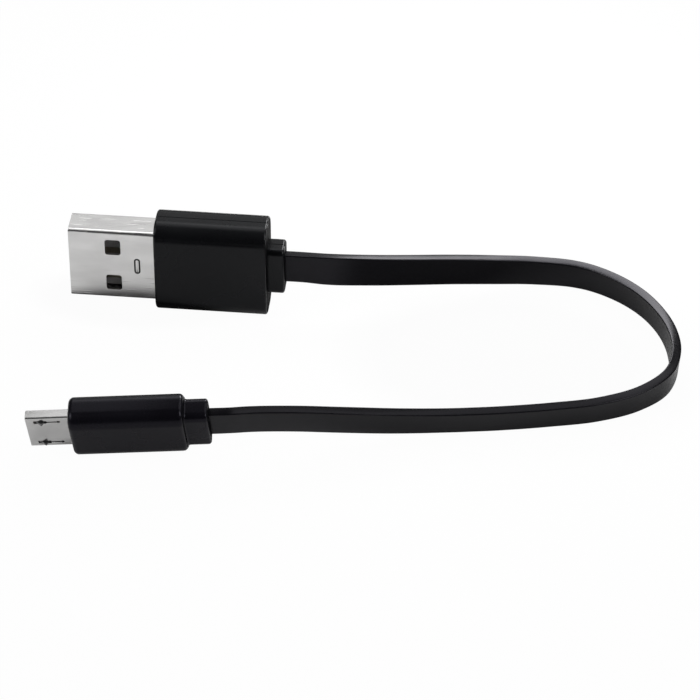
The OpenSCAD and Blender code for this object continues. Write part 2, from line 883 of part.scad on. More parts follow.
// Every row of the route as x, y, height over resting, lean
route_rows = concat(
    [[a_exit[0], 0, a_rise, 0], [a_exit[0] + cable_lead, 0, a_rise, 0]],
    [for (i = [0 : len(cable_route) - 1])
        let (row = cable_route[i], rise = i < len(cable_route) - climb_rows ? a_rise : m_rise)
        [row[0], row[1], row[2] * rise, row[3]]],
    [[m_exit[0] + cable_lead * m_run[0], m_exit[1] + cable_lead * m_run[1],
        m_rise + cable_lead * m_run[2], m_lean],
     [m_exit[0], m_exit[1], m_rise, m_lean]]
);
chords = [
    for (i = [0 : len(route_rows) - 2])
        norm([route_rows[i + 1][0] - route_rows[i][0], route_rows[i + 1][1] - route_rows[i][1]])
];

// Slope of the route at row i, per millimetre along the table
function row_slope(i) =
    i == 0 ? [1, 0, 0, 0]
    : i == len(route_rows) - 1 ? -[m_run[0], m_run[1], m_run[2], 0] / cos(m_pitch)
    : let (before = (route_rows[i] - route_rows[i - 1]) / chords[i - 1],
           after = (route_rows[i + 1] - route_rows[i]) / chords[i])
      (before * chords[i] + after * chords[i - 1]) / (chords[i] + chords[i - 1]);

// A smooth curve between row i and the next one, t from 0 to 1
function on_route(i, t) =
    (2 * t ^ 3 - 3 * t ^ 2 + 1) * route_rows[i]
    + (t ^ 3 - 2 * t ^ 2 + t) * chords[i] * row_slope(i)
    + (3 * t ^ 2 - 2 * t ^ 3) * route_rows[i + 1]
    + (t ^ 3 - t ^ 2) * chords[i] * row_slope(i + 1);

cable_rows = concat(
    [for (i = [0 : len(route_rows) - 2], j = [0 : rings_per_row - 1]) on_route(i, j / rings_per_row)],
    [route_rows[len(route_rows) - 1]]
);
cable_centres = [for (row = cable_rows) [row[0], row[1], resting_height(row[3]) + max(row[2], 0)]];

function cable_run(i) =
    i == 0 ? [1, 0, 0]
    : i == len(cable_centres) - 1 ? -m_run
    : let (run = cable_centres[i + 1] - cable_centres[i - 1]) run / norm(run);

// The jacket's outline round a centre, across the way it runs, leaning out of the loop
function jacket_ring(centre, run, lean) =
    let (
        flat = cross([0, 0, 1], run),
        outward = flat / norm(flat),
        upward = cross(run, outward),
        across = outward * cos(lean) - upward * sin(lean),
        along = upward * cos(lean) + outward * sin(lean)
    )
    [for (p = jacket_profile()) centre + across * p[0] + along * p[1]];

module flat_cable() {
    a_inside = [a_tip_x + a_jacket_end, 0, a_axis_z];
    m_inside = m_place + m_jacket_end * m_run;
    color(black_vinyl)
        skin(concat(
            [jacket_ring(a_inside, [1, 0, 0], 0)],
            [for (i = [0 : len(cable_rows) - 1]) jacket_ring(cable_centres[i], cable_run(i), cable_rows[i][3])],
            [jacket_ring(m_inside, -m_run, m_lean)]
        ));
}

type_a_shell();
type_a_insulator();
type_a_contact(0);  // type_a_contact_power
type_a_contact(1);  // type_a_contact_data_minus
type_a_contact(2);  // type_a_contact_data_plus
type_a_contact(3);  // type_a_contact_ground
type_a_solder();
type_a_core(0, "firebrick");  // type_a_core_red
type_a_core(1, "white");  // type_a_core_white
type_a_core(2, "green");  // type_a_core_green
type_a_core(3, "#202020");  // type_a_core_black
type_a_inner_mould();
type_a_overmould();
micro_b_shell();
micro_b_insulator();
micro_b_contact(0);  // micro_b_contact_power
micro_b_contact(1);  // micro_b_contact_data_minus
micro_b_contact(2);  // micro_b_contact_data_plus
micro_b_contact(3);  // micro_b_contact_identity
micro_b_contact(4);  // micro_b_contact_ground
micro_b_latch(-1);  // micro_b_latch_left
micro_b_latch(1);  // micro_b_latch_right
micro_b_solder();
micro_b_core(0, "firebrick");  // micro_b_core_red
micro_b_core(1, "white");  // micro_b_core_white
micro_b_core(2, "green");  // micro_b_core_green
micro_b_core(3, "#202020");  // micro_b_core_black
micro_b_inner_mould();
micro_b_overmould();
flat_cable();
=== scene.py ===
import json
import math

import bmesh
import bpy
from mathutils import Matrix, Vector


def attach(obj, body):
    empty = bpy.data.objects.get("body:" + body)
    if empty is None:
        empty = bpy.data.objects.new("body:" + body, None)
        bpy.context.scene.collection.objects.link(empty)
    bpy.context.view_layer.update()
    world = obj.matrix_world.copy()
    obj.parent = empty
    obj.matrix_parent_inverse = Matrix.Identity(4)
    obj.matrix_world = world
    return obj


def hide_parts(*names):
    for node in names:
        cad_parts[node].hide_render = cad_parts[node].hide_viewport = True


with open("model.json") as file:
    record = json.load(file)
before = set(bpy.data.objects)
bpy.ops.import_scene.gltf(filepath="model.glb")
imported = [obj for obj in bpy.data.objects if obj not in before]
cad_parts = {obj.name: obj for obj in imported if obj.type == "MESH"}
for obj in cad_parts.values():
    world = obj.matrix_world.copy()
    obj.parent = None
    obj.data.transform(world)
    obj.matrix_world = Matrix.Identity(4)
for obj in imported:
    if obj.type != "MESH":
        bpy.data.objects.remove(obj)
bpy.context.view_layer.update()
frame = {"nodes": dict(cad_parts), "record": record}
cadNodes = frame["nodes"]
mounts = {mount["name"]: mount for mount in frame["record"]["mounts"]}
mm = 0.001  # sizes below are in millimetres until a piece is finished
quarter = math.pi / 2
print("frame loaded with", len(cadNodes), "nodes")

# the camera looks down on the loop from in front, through a long lens
camera = {
    "turn": -5.8,
    "downward": 37.8,
    "lens": 180,
    "sensor": 36,
    "nearest": 0.01,
    "distance": 0.5124,
    "aim": (0.02127, -0.00918, 0),
}


def addCamera(values):
    turn, downward = math.radians(values["turn"]), math.radians(values["downward"])
    gaze = Vector((
        math.sin(turn) * math.cos(downward),
        math.cos(turn) * math.cos(downward),
        -math.sin(downward),
    ))
    lens = bpy.data.cameras.new("studio_camera")
    lens.lens = values["lens"]
    lens.sensor_width = values["sensor"]
    lens.clip_start = values["nearest"]
    holder = bpy.data.objects.new("studio_camera", lens)
    holder.location = Vector(values["aim"]) - gaze * values["distance"]
    holder.rotation_euler = (quarter - downward, 0, -turn)
    bpy.context.scene.collection.objects.link(holder)
    bpy.context.scene.camera = holder


addCamera(camera)
print("camera placed")

# each plug is drawn in its own frame: x from tip to cable, y through its thickness,
# z across its width
tipA = Vector(mounts["type_a_plug"]["pos_m"]) / mm
tipM = Vector(mounts["micro_b_plug"]["pos_m"]) / mm
lie = {"yaw": 4, "pitch": 4, "lean": 17}  # how the micro plug lies on the table, in degrees
placeA = Matrix.Translation(tipA)
placeM = (
    Matrix.Translation(tipM)
    @ Matrix.Rotation(math.radians(lie["yaw"]), 4, "Z")
    @ Matrix.Rotation(math.radians(-lie["pitch"]), 4, "Y")
    @ Matrix.Rotation(math.radians(lie["lean"]), 4, "X")
)

# outlines are lists of (y, z), anticlockwise seen from the cable end,
# and all that meet in one skin have the same number of points
cornerSteps = 8
partingWidth = 0.14  # of the line that the mould leaves along each narrow side


def cornerPoints(y, z, radius, start, steps=cornerSteps):
    return [
        (y + radius * math.cos(start + turn * quarter / steps),
         z + radius * math.sin(start + turn * quarter / steps))
        for turn in range(steps + 1)
    ]


def slopePoints(start, end):
    return [
        (start[0] + (end[0] - start[0]) * step / cornerSteps,
         start[1] + (end[1] - start[1]) * step / cornerSteps)
        for step in range(cornerSteps + 1)
    ]


def partingPoints(z, depth=0.0):
    # a shallow groove in the middle of one narrow side
    inward = -1 if z > 0 else 1
    across = -inward * partingWidth / 2
    return [(across, z), (0, z + inward * depth), (-across, z)]


def roundedOutline(thick, wide, radius, steps=cornerSteps, partingDepth=0.0, upper=None):
    # upper is the radius of the two corners on top, where it differs
    halfT, halfW = thick / 2, wide / 2
    upper = upper or radius
    return (
        partingPoints(-halfW, partingDepth)
        + cornerPoints(halfT - radius, -halfW + radius, radius, -quarter, steps)
        + cornerPoints(halfT - upper, halfW - upper, upper, 0, steps)
        + partingPoints(halfW, partingDepth)
        + cornerPoints(-halfT + upper, halfW - upper, upper, quarter, steps)
        + cornerPoints(-halfT + radius, -halfW + radius, radius, 2 * quarter, steps)
    )


def chamferedOutline(thick, wide, fold, leg):
    # the micro plug's shell: two chamfers at the back and two folds at the latch face
    halfT, halfW = thick / 2, wide / 2
    return (
        partingPoints(-halfW)
        + slopePoints((halfT - leg, -halfW), (halfT, -halfW + leg))
        + slopePoints((halfT, halfW - leg), (halfT - leg, halfW))
        + partingPoints(halfW)
        + cornerPoints(-halfT + fold, halfW - fold, fold, quarter)
        + cornerPoints(-halfT + fold, -halfW + fold, fold, 2 * quarter)
    )


# modelling steps that the pieces share
mergeGap = 0.0005  # corners nearer than this become one
flatAngle = math.radians(0.5)  # faces nearer to one plane than this become one
softAngle = math.radians(35)  # edges sharper than this get a small round
shadeAngle = math.radians(40)  # edges sharper than this are shaded as edges


def firstRing(shape, points):
    loop = bmesh.ops.create_circle(shape, segments=len(points), radius=1)["verts"]
    for vert, point in zip(loop, points):
        vert.co = point
    return loop


def nextRing(shape, loop, points):
    # the ring is extruded, and each new corner moves to its own point
    rim = [
        next(edge for edge in vert.link_edges if edge.other_vert(vert) == after)
        for vert, after in zip(loop, [*loop[1:], loop[0]])
    ]
    grown = bmesh.ops.extrude_edge_only(shape, edges=rim)["geom"]
    fresh = {part for part in grown if isinstance(part, bmesh.types.BMVert)}
    twins = []
    for vert, point in zip(loop, points):
        others = (edge.other_vert(vert) for edge in vert.link_edges)
        twin = next(other for other in others if other in fresh)
        twin.co = point
        twins.append(twin)
    return twins


def station(x, outline):
    return [(x, y, z) for y, z in outline]


def loft(rings, closed=False):
    # one skin through rings; closed runs on into the first ring, and open ends get a cap
    shape = bmesh.new()
    loops = [firstRing(shape, rings[0])]
    for points in rings[1:]:
        loops.append(nextRing(shape, loops[-1], points))
    if closed:
        home = nextRing(shape, loops[-1], rings[0])
        bmesh.ops.weld_verts(shape, targetmap=dict(zip(home, loops[0])))
    else:
        shape.faces.new(loops[0])
        shape.faces.new(loops[-1])
    bmesh.ops.recalc_face_normals(shape, faces=shape.faces[:])
    return shape, loops


def tube(outer, inner, end):
    rings = [station(0, outer), station(end, outer), station(end, inner), station(0, inner)]
    return loft(rings, closed=True)[0]


def prism(outline, depth, place):
    # an outline in x and y drawn out along z, then put in place
    shape = bmesh.new()
    corners = [shape.verts.new((x, y, 0)) for x, y in outline]
    face = shape.faces.new(corners)
    grown = bmesh.ops.extrude_face_region(shape, geom=[face])["geom"]
    raised = [part for part in grown if isinstance(part, bmesh.types.BMVert)]
    bmesh.ops.translate(shape, verts=raised, vec=(0, 0, depth))
    bmesh.ops.recalc_face_normals(shape, faces=shape.faces[:])
    bmesh.ops.transform(shape, matrix=place, verts=shape.verts[:])
    return shape


def steadyOrder(shape):
    # operators leave their corners, edges and faces in an order that changes from run to run,
    # and what the next ones make depends on it
    for row, key in (
        (shape.verts, lambda vert: tuple(vert.co)),
        (shape.edges, lambda edge: sorted(vert.index for vert in edge.verts)),
        (shape.faces, lambda face: sorted(vert.index for vert in face.verts)),
    ):
        places = {part: place for place, part in enumerate(sorted(row, key=key))}
        row.sort(key=lambda part: places[part])
        row.index_update()


def plainMesh(shape, name):
    steadyOrder(shape)
    mesh = bpy.data.meshes.new(name)
    shape.to_mesh(mesh)
    shape.free()
    return mesh


def newObject(mesh, name):
    thing = bpy.data.objects.new(name, mesh)
    bpy.context.scene.collection.objects.link(thing)
    return thing


def cutAway(shape, cutters, name):
    # every cutter is taken out of the shape
    body = newObject(plainMesh(shape, name), name)
    tools = []
    for number, cutter in enumerate(cutters):
        toolName = f"{name}_cut_{number}"
        tool = newObject(plainMesh(cutter, toolName), toolName)
        step = body.modifiers.new(toolName, "BOOLEAN")
        step.operation = "DIFFERENCE"
        step.solver = "EXACT"
        step.object = tool
        tools.append(tool)
    bpy.context.view_layer.update()
    graph = bpy.context.evaluated_depsgraph_get()
    done = bpy.data.meshes.new_from_object(body.evaluated_get(graph))
    for thing in [*tools, body]:
        bpy.data.objects.remove(thing, do_unlink=True)
    result = bmesh.new()
    result.from_mesh(done)
    bpy.data.meshes.remove(done)
    return result


def softenEdges(shape, radius):
    # flat parts become single faces, and the sharp edges get a small round
    steadyOrder(shape)
    bmesh.ops.remove_doubles(shape, verts=shape.verts[:], dist=mergeGap)
    steadyOrder(shape)
    bmesh.ops.dissolve_limit(
        shape, angle_limit=flatAngle, verts=shape.verts[:], edges=shape.edges[:],
        delimit={"NORMAL"},
    )
    steadyOrder(shape)
    shared = [edge for edge in shape.edges if edge.is_manifold]
    hard = [edge for edge in shared if edge.calc_face_angle(0) > softAngle]
    bmesh.ops.bevel(
        shape, geom=hard, offset=radius, offset_type="OFFSET", affect="EDGES",
        segments=2, profile=0.5, clamp_overlap=True, material=-1,
    )


def finishPiece(shape, name, place, finish, body, replaced, second=None, chosen=None):
    # faces that chosen picks out get the second finish
    if second:
        shape.normal_update()
        for face in shape.faces:
            face.material_index = int(chosen(face))
    bmesh.ops.transform(shape, matrix=Matrix.Scale(mm, 4) @ place, verts=shape.verts[:])
    mesh = plainMesh(shape, name)
    for coat in (finish, second):
        if coat:
            mesh.materials.append(coat)
    mesh.shade_smooth()
    mesh.set_sharp_from_angle(angle=shadeAngle)
    piece = newObject(mesh, name)
    level = piece.modifiers.new("flat_faces", "WEIGHTED_NORMAL")
    level.weight = 100  # wide faces stay flat beside their edges
    level.keep_sharp = True
    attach(piece, body)
    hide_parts(*replaced)
    return piece


# finishes, each with its noises: tones are shares of its tone and spread is added to its
# roughness at the low and the high end of a noise, and depth is how deep its marks are, in metres
noiseSpan = (0.3, 0.7)  # nearly all of a noise lies between these


def newFinish(name):
    finish = bpy.data.materials.new(name)
    finish.use_nodes = True
    tree = finish.node_tree
    return finish, tree, tree.nodes["Principled BSDF"]


def patternSpace(tree, source="Object", scale=(1, 1, 1), turn=(0, 0, 0), shift=(0, 0, 0)):
    coords = tree.nodes.new("ShaderNodeTexCoord")
    mapping = tree.nodes.new("ShaderNodeMapping")
    mapping.inputs["Scale"].default_value = scale
    mapping.inputs["Rotation"].default_value = [math.radians(angle) for angle in turn]
    mapping.inputs["Location"].default_value = shift
    tree.links.new(coords.outputs[source], mapping.inputs["Vector"])
    return mapping.outputs["Vector"]


def noiseOver(tree, space, detail, scale=1):
    noise = tree.nodes.new("ShaderNodeTexNoise")
    noise.inputs["Scale"].default_value = scale
    noise.inputs["Detail"].default_value = detail
    tree.links.new(space, noise.inputs["Vector"])
    return noise.outputs["Fac"]


def rampOf(tree, value, dark, light, span=noiseSpan):
    ramp = tree.nodes.new("ShaderNodeValToRGB")
    for element, place, tone in zip(ramp.color_ramp.elements, span, (dark, light)):
        element.position = place
        element.color = (*tone, 1)
    tree.links.new(value, ramp.inputs["Fac"])
    return ramp.outputs["Color"]


def rangeOf(tree, value, low, high, span=noiseSpan):
    mapped = tree.nodes.new("ShaderNodeMapRange")
    mapped.inputs["From Min"].default_value = span[0]
    mapped.inputs["From Max"].default_value = span[1]
    mapped.inputs["To Min"].default_value = low
    mapped.inputs["To Max"].default_value = high
    tree.links.new(value, mapped.inputs["Value"])
    return mapped.outputs["Result"]


def mathOf(tree, operation, first, second):
    # second is another socket or a plain number
    step = tree.nodes.new("ShaderNodeMath")
    step.operation = operation
    tree.links.new(first, step.inputs[0])
    if isinstance(second, float):
        step.inputs[1].default_value = second
    else:
        tree.links.new(second, step.inputs[1])
    return step.outputs[0]


def bumpFrom(tree, shader, value, depth):
    bump = tree.nodes.new("ShaderNodeBump")
    bump.inputs["Distance"].default_value = depth
    tree.links.new(value, bump.inputs["Height"])
    tree.links.new(bump.outputs["Normal"], shader.inputs["Normal"])


def varySurface(tree, shader, tone, roughness, values, toneNoise, roughNoise):
    dark, light = ([channel * share for channel in tone] for share in values["tones"])
    colour = rampOf(tree, toneNoise, dark, light, values.get("toneSpan", noiseSpan))
    tree.links.new(colour, shader.inputs["Base Color"])
    low, high = (roughness + spread for spread in values["spread"])
    tree.links.new(rangeOf(tree, roughNoise, low, high), shader.inputs["Roughness"])


def setShine(shader, specular, tint):
    shader.inputs["Specular IOR Level"].default_value = specular
    shader.inputs["Specular Tint"].default_value = (*tint, 1)


moulded = {
    "drift": 140, "grain": 5200, "detail": 2,
    "tones": (0.86, 1.14), "spread": (-0.03, 0.03),
}


def mouldedVinyl(name, tone, roughness, specular, depth, tint=(1, 1, 1)):
    # satin black moulding: fine spark texture and a slow drift of tone and gloss
    finish, tree, shader = newFinish(name)
    space = patternSpace(tree)
    drift = noiseOver(tree, space, moulded["detail"], moulded["drift"])
    grain = noiseOver(tree, space, moulded["detail"], moulded["grain"])
    varySurface(tree, shader, tone, roughness, moulded, drift, drift)
    setShine(shader, specular, tint)
    bumpFrom(tree, shader, grain, depth)
    return finish


extruded = {
    "lines": (20, 1500, 1), "drift": (40, 2, 1), "detail": 2, "depth": 0.000004,
    "tones": (0.88, 1.12), "spread": (-0.03, 0.03),
}


def extrudedVinyl(name, tone, roughness, specular, tint):
    # the jacket: faint lines of the die along its length, and soft marks across
    finish, tree, shader = newFinish(name)
    lines, drift = (
        noiseOver(tree, patternSpace(tree, "UV", extruded[noise]), extruded["detail"])
        for noise in ("lines", "drift")
    )
    varySurface(tree, shader, tone, roughness, extruded, drift, lines)
    setShine(shader, specular, tint)
    bumpFrom(tree, shader, lines, extruded["depth"])
    return finish


nickel = {
    "streaks": (30, 1400, 1400), "cloud": (150, 420, 420), "detail": 3, "depth": 0.0000022,
    "scuffs": (180, 2600, 2600), "scuffDetail": 1, "scuffSpan": (0.64, 0.7), "scuffShare": 3,
    "tones": (0.9, 1.06), "spread": (0.05, -0.04),
}


def nickelSteel(name, tone, roughness, turn=(0, 0, 0)):
    # nickel plated strip: drawn lines along the plug, light handling marks and a cloudy gloss
    finish, tree, shader = newFinish(name)
    streaks, cloud = (
        noiseOver(tree, patternSpace(tree, "Object", nickel[noise], turn), nickel["detail"])
        for noise in ("streaks", "cloud")
    )
    space = patternSpace(tree, "Object", nickel["scuffs"], turn)
    scuffs = noiseOver(tree, space, nickel["scuffDetail"])
    scuffs = rangeOf(tree, scuffs, 0, nickel["scuffShare"], nickel["scuffSpan"])
    varySurface(tree, shader, tone, roughness, nickel, cloud, cloud)
    shader.inputs["Metallic"].default_value = 1
    bumpFrom(tree, shader, mathOf(tree, "ADD", streaks, scuffs), nickel["depth"])
    return finish


metal = {
    "detail": 3, "depth": 0.000004,
    "tones": (0.85, 1), "toneSpan": (0.35, 0.65), "spread": (-0.05, 0.08),
}


def plainMetal(name, tone, roughness, grainScale):
    finish, tree, shader = newFinish(name)
    grain = noiseOver(tree, patternSpace(tree), metal["detail"], grainScale)
    varySurface(tree, shader, tone, roughness, metal, grain, grain)
    shader.inputs["Metallic"].default_value = 1
    bumpFrom(tree, shader, grain, metal["depth"])
    return finish


plastic = {
    "grain": 3000, "detail": 3, "depth": 0.000006, "specular": 0.4,
    "tones": (0.88, 1), "spread": (-0.05, 0.05),
}


def insidePlastic(name, tone, roughness):
    finish, tree, shader = newFinish(name)
    grain = noiseOver(tree, patternSpace(tree), plastic["detail"], plastic["grain"])
    varySurface(tree, shader, tone, roughness, plastic, grain, grain)
    shader.inputs["Specular IOR Level"].default_value = plastic["specular"]
    bumpFrom(tree, shader, grain, plastic["depth"])
    return finish


vinylA = mouldedVinyl(
    "black_vinyl_type_a", tone=(0.0026, 0.0028, 0.0034), roughness=0.27,
    specular=0.18, depth=0.000005, tint=(0.95, 0.96, 1),
)
vinylM = mouldedVinyl(
    "black_vinyl_micro_b", tone=(0.003, 0.0028, 0.0044), roughness=0.27,
    specular=0.18, depth=0.000005, tint=(0.87, 0.84, 1),
)
endVinyl = mouldedVinyl(
    "black_vinyl_end", tone=(0.0035, 0.0036, 0.0041), roughness=0.6,
    specular=0.02, depth=0.00001,
)
jacketVinyl = extrudedVinyl(
    "black_vinyl_jacket", tone=(0.003, 0.0029, 0.0038), roughness=0.24,
    specular=0.19, tint=(0.92, 0.9, 1),
)
# each name is followed by its tone, its roughness and, for metal, the scale of its grain
steelA = nickelSteel("nickel_steel_type_a", (0.73, 0.725, 0.72), 0.18)
steelM = nickelSteel("nickel_steel_micro_b", (0.68, 0.675, 0.67), 0.22, turn=(0, 0, -lie["yaw"]))
# painted shade: near-black steel for the walls and floor of the coined groove, standing in for
# the shade inside it
paintedShadeSteel = plainMetal("painted_shade_steel", (0.05, 0.05, 0.052), 0.5, 2500)
cadFinishes = {
    "black_plastic": insidePlastic("black_nylon", (0.05, 0.05, 0.051), 0.45),
    "gilt": plainMetal("flash_gilt", (0.34, 0.31, 0.25), 0.35, 2500),
    "tin": plainMetal("bright_solder", (0.6, 0.61, 0.62), 0.28, 3500),
    "natural_plastic": insidePlastic("natural_moulding", (0.7, 0.68, 0.6), 0.5),
    "red_wire": insidePlastic("red_insulation", (0.5, 0.03, 0.025), 0.35),
    "white_wire": insidePlastic("white_insulation", (0.75, 0.75, 0.72), 0.35),
    "green_wire": insidePlastic("green_insulation", (0.03, 0.26, 0.07), 0.35),
    "black_wire": insidePlastic("black_insulation", (0.015, 0.015, 0.016), 0.35),
    "steel": plainMetal("latch_steel", (0.17, 0.17, 0.175), 0.3, 2500),
    "black_vinyl": vinylA,
}
ownFinishes = {"type_a_insulator": insidePlastic("grey_nylon", (0.5, 0.49, 0.49), 0.45)}
for part in frame["record"]["subparts"]:
    carried = cadNodes[part["node"]]
    finish = ownFinishes.get(part["node"], cadFinishes[part["material_slot"]])
    carried.data.materials.clear()
    carried.data.materials.append(finish)
print("finishes on the CAD nodes")

# the flat cable
cable = {
    "width": 4.8,
    "thickness": 1.35,
    "corner": 0.3,
    "topCorner": 0.17,
    "cornerSteps": 5,
    "lead": 2.6,  # straight stretch out of each plug
    "exitA": 31.85,  # from each tip to the end of its neck
    "exitM": 25.6,
    "insideA": 24.75,  # from each tip to the jacket's end inside the inner mould
    "insideM": 18.4,
    "climbRows": 5,  # rows of the route that climb to the micro plug
    "steps": 14,  # of the curve between two rows
}
# x, y, share of the plug's height that is left, lean in degrees
cableRoute = [
    (16.8, -0.1, 0.99, 4), (22.7, 0.9, 0.9, 2), (28.9, 2.8, 0.73, -1), (35, 5.2, 0.5, -3),
    (41, 7.4, 0.27, -5), (47.3, 9.1, 0.09, -8), (53.8, 9.3, 0, -11), (59.2, 6.9, 0, -12),
    (63.4, 3.3, 0, -11), (66.2, -0.8, 0, -8), (68, -5.4, 0, -2), (68.6, -10.4, 0, 4),
    (67.5, -15.2, 0, 10), (63.9, -19.3, 0, 16), (58.2, -22.4, 0, 19), (51.5, -24.3, 0, 20),
    (44.2, -25.9, 0, 20), (36.8, -27.2, 0.02, 20), (29.5, -29, 0.23, 18), (22.3, -31, 0.57, 17),
    (15.5, -32.7, 0.86, 17), (9.6, -34, 0.99, 17),
]


def restingHeight(lean):
    # of the jacket's middle where its lower edge touches the table
    angle = math.radians(lean)
    return (
        (cable["width"] / 2 - cable["corner"]) * math.cos(angle)
        + (cable["thickness"] / 2 - cable["corner"]) * abs(math.sin(angle))
        + cable["corner"]
    )


def cableRows():
    # each row is x, y, how far the jacket's lower edge is off the table, and its lean
    exitA = placeA @ Vector((cable["exitA"], 0, 0))
    exitM = placeM @ Vector((cable["exitM"], 0, 0))
    runM = placeM.to_3x3() @ Vector((1, 0, 0))
    riseA = exitA.z - restingHeight(0)
    riseM = exitM.z - restingHeight(lie["lean"])
    lead, last = cable["lead"], len(cableRoute) - cable["climbRows"]
    leadM = exitM + runM * lead
    rows = [(exitA.x, 0, riseA, 0), (exitA.x + lead, 0, riseA, 0)]
    for i, (x, y, share, lean) in enumerate(cableRoute):
        rows.append((x, y, share * (riseA if i < last else riseM), lean))
    rows.append((leadM.x, leadM.y, riseM + lead * runM.z, lie["lean"]))
    rows.append((exitM.x, exitM.y, riseM, lie["lean"]))
    rows = [Vector(row) for row in rows]
    chords = [(after - before).to_2d().length for before, after in zip(rows, rows[1:])]

    def slope(i):
        if i == 0:
            return Vector((1, 0, 0, 0))
        if i == len(rows) - 1:
            return -Vector((runM.x, runM.y, runM.z, 0)) / math.cos(math.radians(lie["pitch"]))
        before = (rows[i] - rows[i - 1]) / chords[i - 1]
        after = (rows[i + 1] - rows[i]) / chords[i]
        return (before * chords[i] + after * chords[i - 1]) / (chords[i] + chords[i - 1])

    smooth = []
    for i in range(len(rows) - 1):
        for step in range(cable["steps"]):
            t = step / cable["steps"]
            smooth.append(
                (2 * t**3 - 3 * t**2 + 1) * rows[i]
                + (t**3 - 2 * t**2 + t) * chords[i] * slope(i)
                + (3 * t**2 - 2 * t**3) * rows[i + 1]
                + (t**3 - t**2) * chords[i] * slope(i + 1)
            )
    smooth.append(rows[-1])
    centres = [
        Vector((x, y, restingHeight(lean) + max(rise, 0))) for x, y, rise, lean in smooth
    ]
    leans = [row[3] for row in smooth]
    runs = [(after - before).normalized() for before, after in zip(centres, centres[2:])]
    return centres, [Vector((1, 0, 0)), *runs, -runM], leans


def jacketOutline(steps=cable["cornerSteps"]):
    return roundedOutline(
        cable["thickness"], cable["width"], cable["corner"], steps, upper=cable["topCorner"],
    )


def jacketRing(centre, run, lean):
    angle = math.radians(lean)
    outward = Vector((0, 0, 1)).cross(run).normalized()
    upward = run.cross(outward)
    across = outward * math.cos(angle) - upward * math.sin(angle)
    along = upward * math.cos(angle) + outward * math.sin(angle)
    return [centre + across * y + along * z for y, z in jacketOutline()]


def sumsOf(lengths):
    sums = [0.0]
    for length in lengths:
        sums.append(sums[-1] + length)
    return sums


def mapJacket(shape, loops, reach):
    # the pattern follows the jacket: u along it and v round it
    outline = jacketOutline()
    count = len(outline)
    girth = sumsOf(math.dist(outline[i], outline[(i + 1) % count]) for i in range(count))
    spot = {vert: (ring, i) for ring, loop in enumerate(loops) for i, vert in enumerate(loop)}
    layer = shape.loops.layers.uv.new("jacket")
    for face in shape.faces:
        around = [spot[corner.vert][1] for corner in face.loops]
        wraps = len(around) == 4 and max(around) - min(around) > 1
        for corner, place in zip(face.loops, around):
            over = count if wraps and place == 0 else place
            corner[layer].uv = (reach[spot[corner.vert][0]] * mm, girth[over] * mm)


def makeCable():
    centres, runs, leans = cableRows()
    insideA = placeA @ Vector((cable["insideA"], 0, 0))
    insideM = placeM @ Vector((cable["insideM"], 0, 0))
    rings = [jacketRing(insideA, Vector((1, 0, 0)), 0)]
    rings += [jacketRing(*ring) for ring in zip(centres, runs, leans)]
    rings += [jacketRing(insideM, runs[-1], leans[-1])]
    shape, loops = loft(rings)
    line = [insideA, *centres, insideM]
    reach = sumsOf((after - before).length for before, after in zip(line, line[1:]))
    mapJacket(shape, loops, reach)
    piece = finishPiece(
        shape, "flat_jacket", Matrix.Identity(4), jacketVinyl, "cable",
        ["flat_cable"],
    )
    print("flat cable,", round(reach[-1], 1), "mm with its two gripped ends")


makeCable()

# the mouldings
gripA = {
    "start": 12.75, "length": 16.6, "bodyThick": 7, "bodyWide": 15.4, "bodyCorner": 2.5,
    "nose": 0.4, "tail": 0.35, "fillet": 0.0, "parting": 0.07,
    "neckLength": 2.5, "neckThick": 3.9, "neckWide": 7.85, "neckCorner": 0.9, "neckEdge": 0.4,
    "innerStart": 13.75, "innerEnd": 26.55, "innerThick": 5.4, "innerWide": 13.8,
    "innerCorner": 1.7,
}
gripM = {
    "start": 6.1, "length": 16.2, "bodyThick": 5.35, "bodyWide": 9.2, "bodyCorner": 2,
    "nose": 0.7, "tail": 0.7, "fillet": 0.35, "parting": 0.0,
    "neckLength": 3.3, "neckThick": 3.85, "neckWide": 7.25, "neckCorner": 1.1, "neckEdge": 0.4,
    "innerStart": 6.9, "innerEnd": 20.2, "innerThick": 4.23, "innerWide": 8.08,
    "innerCorner": 1.44,
}
edgeSteps = 7  # of each rounded edge and of the fillet
leastCorner = 0.1  # the smallest radius of a section's corners
endFacing = 0.99  # the least that the neck's flat end looks towards the cable


def isEnd(face):
    return face.normal.x > endFacing


def gripRings(grip, shellOutline):
    # outside from nose to neck, then back past the jacket, the inner mould and the shell
    start, end = grip["start"], grip["start"] + grip["length"]
    neckEnd = end + grip["neckLength"]
    nose, tail, fillet, edge = (grip[key] for key in ("nose", "tail", "fillet", "neckEdge"))
    sweep = [quarter * step / edgeSteps for step in range(edgeSteps + 1)]

    def section(part, x, inset):
        thick, wide, corner = (grip[part + size] for size in ("Thick", "Wide", "Corner"))
        return station(x, roundedOutline(
            thick - 2 * inset, wide - 2 * inset, max(corner - inset, leastCorner),
            partingDepth=grip["parting"],
        ))

    rings = [
        section("body", start + nose * (1 - math.cos(a)), nose * (1 - math.sin(a))) for a in sweep
    ]
    rings += [
        section("body", end - tail * (1 - math.sin(a)), tail * (1 - math.cos(a))) for a in sweep
    ]
    if fillet:
        rings += [
            section("neck", end + fillet * (1 - math.cos(a)), -fillet * (1 - math.sin(a)))
            for a in sweep
        ]
    else:
        rings += [section("neck", end, 0)]
    rings += [
        section("neck", neckEnd - edge * (1 - math.sin(a)), edge * (1 - math.cos(a)))
        for a in sweep
    ]
    jacket = jacketOutline(cornerSteps)
    inner = roundedOutline(grip["innerThick"], grip["innerWide"], grip["innerCorner"])
    rings += [station(neckEnd, jacket), station(grip["innerEnd"], jacket)]
    rings += [station(grip["innerEnd"], inner), station(grip["innerStart"], inner)]
    rings += [station(grip["innerStart"], shellOutline), station(start, shellOutline)]
    return rings


